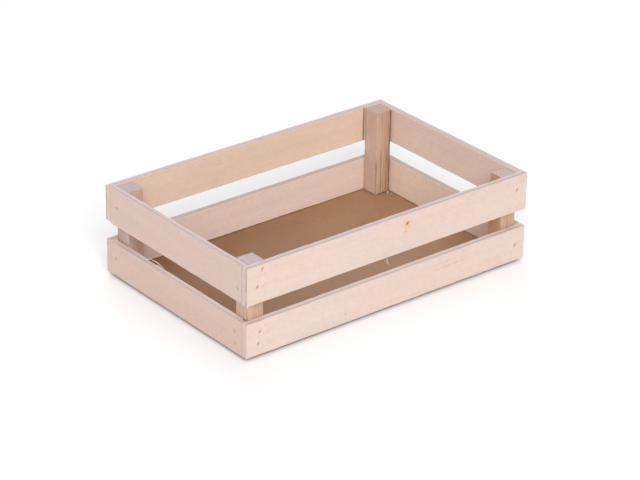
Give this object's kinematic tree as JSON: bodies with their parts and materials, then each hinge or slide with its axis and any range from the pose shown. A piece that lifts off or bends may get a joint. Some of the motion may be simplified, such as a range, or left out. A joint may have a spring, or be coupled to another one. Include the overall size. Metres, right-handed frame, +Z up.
{
  "type": "wooden apple crate",
  "caption": "Shallow open crate of plywood slats nailed round corner posts over a hardboard base, for apples or other produce.",
  "frame": {"origin": "middle of the underside of the base, on the surface that the crate stands on", "axes": "+Z up, +X along the crate to its right, +Y across it to its back"},
  "size_m": [0.3, 0.195, 0.0838],
  "materials": {
    "slat_plywood": "bare sanded birch plywood",
    "post_softwood": "bare planed softwood",
    "base_hardboard": "bare brown hardboard",
    "nail_steel": "dull"
  },
  "bodies": {
    "root": {"base_panel": "base_hardboard", "post_front_left": "post_softwood", "post_front_right": "post_softwood", "post_back_left": "post_softwood", "post_back_right": "post_softwood", "slat_top_front": "slat_plywood", "slat_top_back": "slat_plywood", "slat_top_left": "slat_plywood", "slat_top_right": "slat_plywood", "slat_bottom_front": "slat_plywood", "slat_bottom_back": "slat_plywood", "slat_bottom_left": "slat_plywood", "slat_bottom_right": "slat_plywood", "nail_top_front_1": "nail_steel", "nail_top_front_2": "nail_steel", "nail_top_front_3": "nail_steel", "nail_top_back_1": "nail_steel", "nail_top_back_2": "nail_steel", "nail_top_back_3": "nail_steel", "nail_top_left_1": "nail_steel", "nail_top_left_2": "nail_steel", "nail_top_right_1": "nail_steel", "nail_top_right_2": "nail_steel", "nail_bottom_front_1": "nail_steel", "nail_bottom_front_2": "nail_steel", "nail_bottom_front_3": "nail_steel", "nail_bottom_back_1": "nail_steel", "nail_bottom_back_2": "nail_steel", "nail_bottom_back_3": "nail_steel", "nail_bottom_left_1": "nail_steel", "nail_bottom_left_2": "nail_steel", "nail_bottom_left_3": "nail_steel", "nail_bottom_right_1": "nail_steel", "nail_bottom_right_2": "nail_steel", "nail_bottom_right_3": "nail_steel", "pin_front_left_1": "nail_steel", "pin_front_left_2": "nail_steel", "pin_front_right_1": "nail_steel", "pin_front_right_2": "nail_steel", "pin_back_left_1": "nail_steel", "pin_back_left_2": "nail_steel", "pin_back_right_1": "nail_steel", "pin_back_right_2": "nail_steel"}
  },
  "joints": []
}
